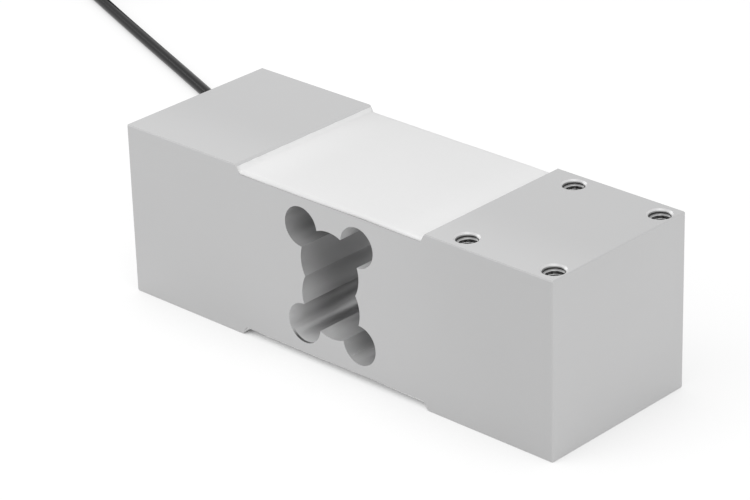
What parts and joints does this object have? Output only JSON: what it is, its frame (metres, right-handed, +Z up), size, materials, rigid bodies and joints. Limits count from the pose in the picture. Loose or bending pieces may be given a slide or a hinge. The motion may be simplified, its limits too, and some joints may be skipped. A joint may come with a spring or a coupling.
{
  "type": "single point load cell",
  "caption": "Rectangular aluminium bending-beam load cell with a bored cut-out, sealed gauge recesses, tapped holes at both ends and a coiled signal cable.",
  "frame": {"origin": "middle of the block's base, midway along its length and width", "axes": "+X along the block towards the loaded end, +Z up, the cable leaves towards -X"},
  "size_m": [0.3687, 0.2056, 0.05],
  "materials": {
    "milled_aluminium": "milled satin",
    "white_sealant": "soft matt silicone",
    "gauge_film": "amber polyimide film",
    "gauge_foil": "etched foil",
    "circuit_board": "solder mask",
    "copper_pad": "bare copper",
    "solder": "bright solder",
    "chip_ceramic": "black chip",
    "ribbon_grey": "flat ribbon",
    "bush_rubber": "moulded rubber",
    "entry_resin": "cast resin",
    "bare_wire": "tinned copper",
    "cable_jacket": "smooth extruded jacket",
    "wire_red": "extruded insulation",
    "wire_black": "extruded insulation",
    "wire_green": "extruded insulation",
    "wire_white": "extruded insulation",
    "coil_band": "woven tie"
  },
  "bodies": {
    "root": {"spring_element": "milled_aluminium", "top_sealant": "white_sealant", "bottom_sealant": "white_sealant", "bridge_board": "circuit_board", "terminal_board": "circuit_board", "bridge_board_pads": "copper_pad", "terminal_board_pads": "copper_pad", "board_ribbon": "ribbon_grey", "zero_resistor": "chip_ceramic", "span_resistors": "chip_ceramic", "top_gauge_leads": "bare_wire", "bottom_gauge_leads": "bare_wire", "top_solder_joints": "solder", "bottom_solder_joints": "solder", "cable_shield": "bare_wire", "cable_bush": "bush_rubber", "entry_potting": "entry_resin", "cable_run": "cable_jacket", "cable_coil": "cable_jacket", "coil_band": "coil_band", "end_sleeve": "bush_rubber", "flying_lead_tips": "bare_wire", "drain_wire": "bare_wire", "top_gauge_film_fixed_end": "gauge_film", "top_gauge_grid_fixed_end": "gauge_foil", "top_gauge_film_load_end": "gauge_film", "top_gauge_grid_load_end": "gauge_foil", "bottom_gauge_film_fixed_end": "gauge_film", "bottom_gauge_grid_fixed_end": "gauge_foil", "bottom_gauge_film_load_end": "gauge_film", "bottom_gauge_grid_load_end": "gauge_foil", "core_red": "wire_red", "flying_lead_red": "wire_red", "core_black": "wire_black", "flying_lead_black": "wire_black", "core_green": "wire_green", "flying_lead_green": "wire_green", "core_white": "wire_white", "flying_lead_white": "wire_white"}
  },
  "joints": []
}
